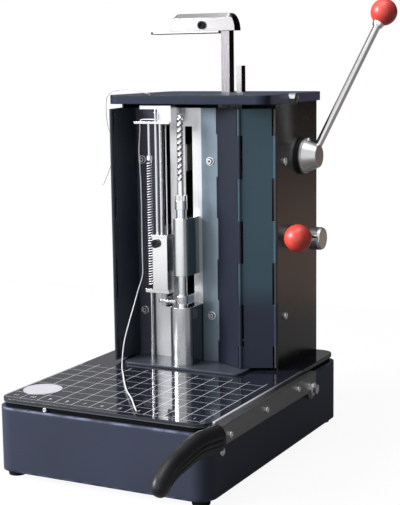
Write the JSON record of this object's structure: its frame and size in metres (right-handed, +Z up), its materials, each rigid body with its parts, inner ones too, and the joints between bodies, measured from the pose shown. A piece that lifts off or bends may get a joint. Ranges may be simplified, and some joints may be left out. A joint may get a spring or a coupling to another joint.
{
  "type": "thread binding machine",
  "caption": "Free-standing book binding machine: a lever drill and thread needles on a sliding carriage in a column with folding covers, over a trimmer table with a cutter arm.",
  "frame": {"origin": "middle of the base plate's underside", "axes": "+X to the operator's right, +Y to the back, +Z up"},
  "size_m": [0.3685, 0.6116, 0.5965],
  "materials": {
    "paint_black": "gloss",
    "paint_slate": "satin",
    "steel": "brushed",
    "chrome": "polished",
    "bronze": "satin",
    "aluminium": "satin",
    "black_plastic": "gloss",
    "red_plastic": "gloss",
    "rubber": "matte",
    "thread": "matte",
    "badge": "satin",
    "dark_steel": "satin"
  },
  "bodies": {
    "machine": {"base_shell": "paint_black", "bottom_plate": "dark_steel", "rubber_feet": "rubber", "body_screws": "chrome", "table_plate": "paint_black", "badge_disc": "badge", "power_inlet": "black_plastic", "fixed_blade": "steel", "pivot_bolt": "chrome", "left_wall": "paint_black", "right_wall": "paint_black", "back_cover": "paint_black", "top_plate": "paint_slate", "slide_rails": "chrome", "shaft_bushes": "black_plastic", "press_guide": "aluminium", "outer_thread": "thread"},
    "cutter": {"cutter_arm": "steel", "cutter_blade": "steel", "cutter_screws": "chrome", "cutter_handle": "black_plastic"},
    "side_knob": {"top_knob": "chrome"},
    "carriage": {"carriage_plate": "steel", "carriage_flanges": "paint_slate", "flange_screws": "chrome", "floor_plate": "paint_black", "carriage_bearings": "aluminium", "pinion_carriers": "aluminium", "guide_rod": "chrome", "return_spring": "chrome", "needle_guide": "steel", "motor_housing": "steel", "spindle_guide": "steel", "inner_thread": "thread"},
    "needle_unit": {"needle_block": "steel", "block_screw": "dark_steel", "needles": "chrome", "needle_rack": "steel"},
    "needle_gear": {"needle_pinion": "bronze"},
    "needle_handle": {"needle_shaft": "steel", "needle_lever": "aluminium", "needle_knob": "red_plastic"},
    "drill_unit": {"quill": "steel", "feed_rack": "steel"},
    "drill": {"spindle": "chrome", "chuck": "steel", "drill_bit": "chrome"},
    "rotor": {"motor_rotor": "bronze"},
    "feed_gear": {"feed_pinion": "bronze"},
    "feed_handle": {"feed_shaft": "steel", "feed_lever": "chrome", "feed_knob": "red_plastic"},
    "press": {"press_post": "aluminium", "press_arm": "steel", "press_plate": "steel", "press_screw": "dark_steel"},
    "left_outer": {"left_outer_leaf": "paint_slate"},
    "left_inner": {"left_inner_leaf": "paint_slate"},
    "right_outer": {"right_outer_leaf": "paint_slate"},
    "right_inner": {"right_inner_leaf": "paint_slate"}
  },
  "joints": [
    {"name": "cutter_swing", "type": "hinge", "parent": "machine", "child": "cutter", "pos_m": [0.1567, 0.082, 0.069], "axis": [-1, 0, 0], "range_deg": [0, 65]},
    {"name": "knob_turn", "type": "hinge", "parent": "machine", "child": "side_knob", "pos_m": [0.121, 0.0995, 0.456], "axis": [1, 0, 0], "continuous": true},
    {"name": "carriage_slide", "type": "slide", "parent": "machine", "child": "carriage", "axis": [1, 0, 0], "range_m": [0, 0.06]},
    {"name": "needle_lever_swing", "type": "hinge", "parent": "machine", "child": "needle_handle", "pos_m": [0, 0.15, 0.263], "axis": [1, 0, 0], "range_deg": [0, 114.5], "stiffness_Nm_per_rad": 0.25},
    {"name": "needle_slide", "type": "slide", "parent": "carriage", "child": "needle_unit", "axis": [0, 0, 1], "range_m": [0, 0.05], "deforming": ["return_spring"]},
    {"name": "needle_gear_turn", "type": "hinge", "parent": "carriage", "child": "needle_gear", "pos_m": [-0.047, 0.15, 0.263], "axis": [1, 0, 0], "range_deg": [0, 115]},
    {"name": "feed_lever_swing", "type": "hinge", "parent": "machine", "child": "feed_handle", "pos_m": [0, 0.15, 0.376], "axis": [1, 0, 0], "range_deg": [0, 143.2]},
    {"name": "drill_slide", "type": "slide", "parent": "carriage", "child": "drill_unit", "axis": [0, 0, 1], "range_m": [0, 0.0625]},
    {"name": "feed_gear_turn", "type": "hinge", "parent": "carriage", "child": "feed_gear", "pos_m": [-0.0126, 0.15, 0.376], "axis": [1, 0, 0], "range_deg": [0, 143.5]},
    {"name": "drill_spin", "type": "hinge", "parent": "drill_unit", "child": "drill", "pos_m": [-0.0112, 0.0375, 0.292], "axis": [0, 0, 1], "continuous": true},
    {"name": "rotor_spin", "type": "hinge", "parent": "carriage", "child": "rotor", "pos_m": [-0.0112, 0.0375, 0.132], "axis": [0, 0, 1], "continuous": true},
    {"name": "press_slide", "type": "slide", "parent": "machine", "child": "press", "axis": [0, 0, 1], "range_m": [-0.08, 0]},
    {"name": "right_outer_fold", "type": "hinge", "parent": "machine", "child": "right_outer", "pos_m": [0.116, 0.064, 0.27], "axis": [0, 0, 1], "range_deg": [0, 52.9]},
    {"name": "right_inner_fold", "type": "hinge", "parent": "right_outer", "child": "right_inner", "pos_m": [0.073, 0.04406, 0.27], "axis": [0, 0, 1], "range_deg": [-105.7, 0]},
    {"name": "left_outer_fold", "type": "hinge", "parent": "machine", "child": "left_outer", "pos_m": [-0.116, 0.064, 0.27], "axis": [0, 0, 1], "range_deg": [0, 43.3]},
    {"name": "left_inner_fold", "type": "hinge", "parent": "left_outer", "child": "left_inner", "pos_m": [-0.1055, 0.01778, 0.27], "axis": [0, 0, 1], "range_deg": [-86.6, 0]}
  ],
  "couplings": [
    {"joint": "needle_slide", "follows": "needle_lever_swing", "m_per_rad": 0.025},
    {"joint": "needle_gear_turn", "follows": "needle_lever_swing", "ratio": 1},
    {"joint": "drill_slide", "follows": "feed_lever_swing", "m_per_rad": 0.025},
    {"joint": "feed_gear_turn", "follows": "feed_lever_swing", "ratio": 1},
    {"joint": "rotor_spin", "follows": "drill_spin", "ratio": 1},
    {"joint": "right_outer_fold", "follows": "carriage_slide", "rad_per_m": 15.36},
    {"joint": "right_inner_fold", "follows": "carriage_slide", "rad_per_m": -30.72},
    {"joint": "left_outer_fold", "follows": "carriage_slide", "rad_per_m": 12.57},
    {"joint": "left_inner_fold", "follows": "carriage_slide", "rad_per_m": -25.14}
  ]
}
